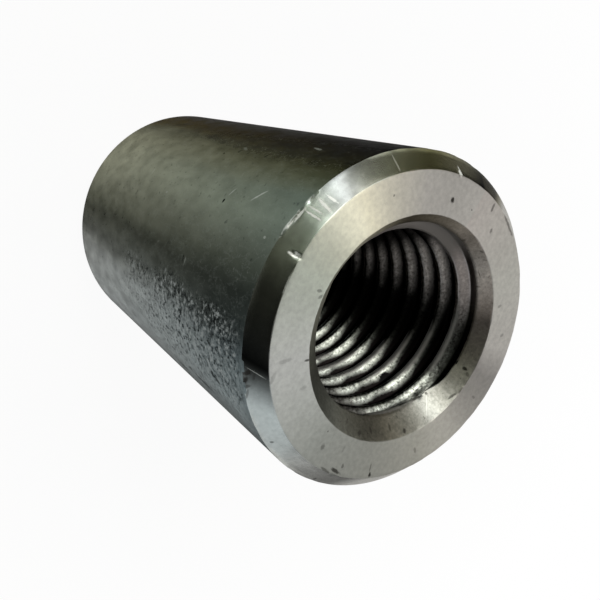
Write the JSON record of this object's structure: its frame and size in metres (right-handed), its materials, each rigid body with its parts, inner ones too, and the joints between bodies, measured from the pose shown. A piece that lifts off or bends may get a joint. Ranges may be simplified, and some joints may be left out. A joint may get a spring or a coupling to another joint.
{
  "type": "rebar coupler",
  "caption": "Thick-walled steel sleeve with a right-hand thread right through it and bevelled, countersunk ends, for joining reinforcing bars end to end.",
  "frame": {"origin": "centre of the bottom end face, on the bore axis", "axes": "+Z along the bore axis, towards the top end face; X and Y are any two directions across the round bar"},
  "size_m": [0.032, 0.032, 0.051],
  "materials": {
    "steel": "dark rolled skin outside, machined bright grey ends, countersinks and thread"
  },
  "bodies": {
    "root": {"sleeve": "steel"}
  },
  "joints": []
}
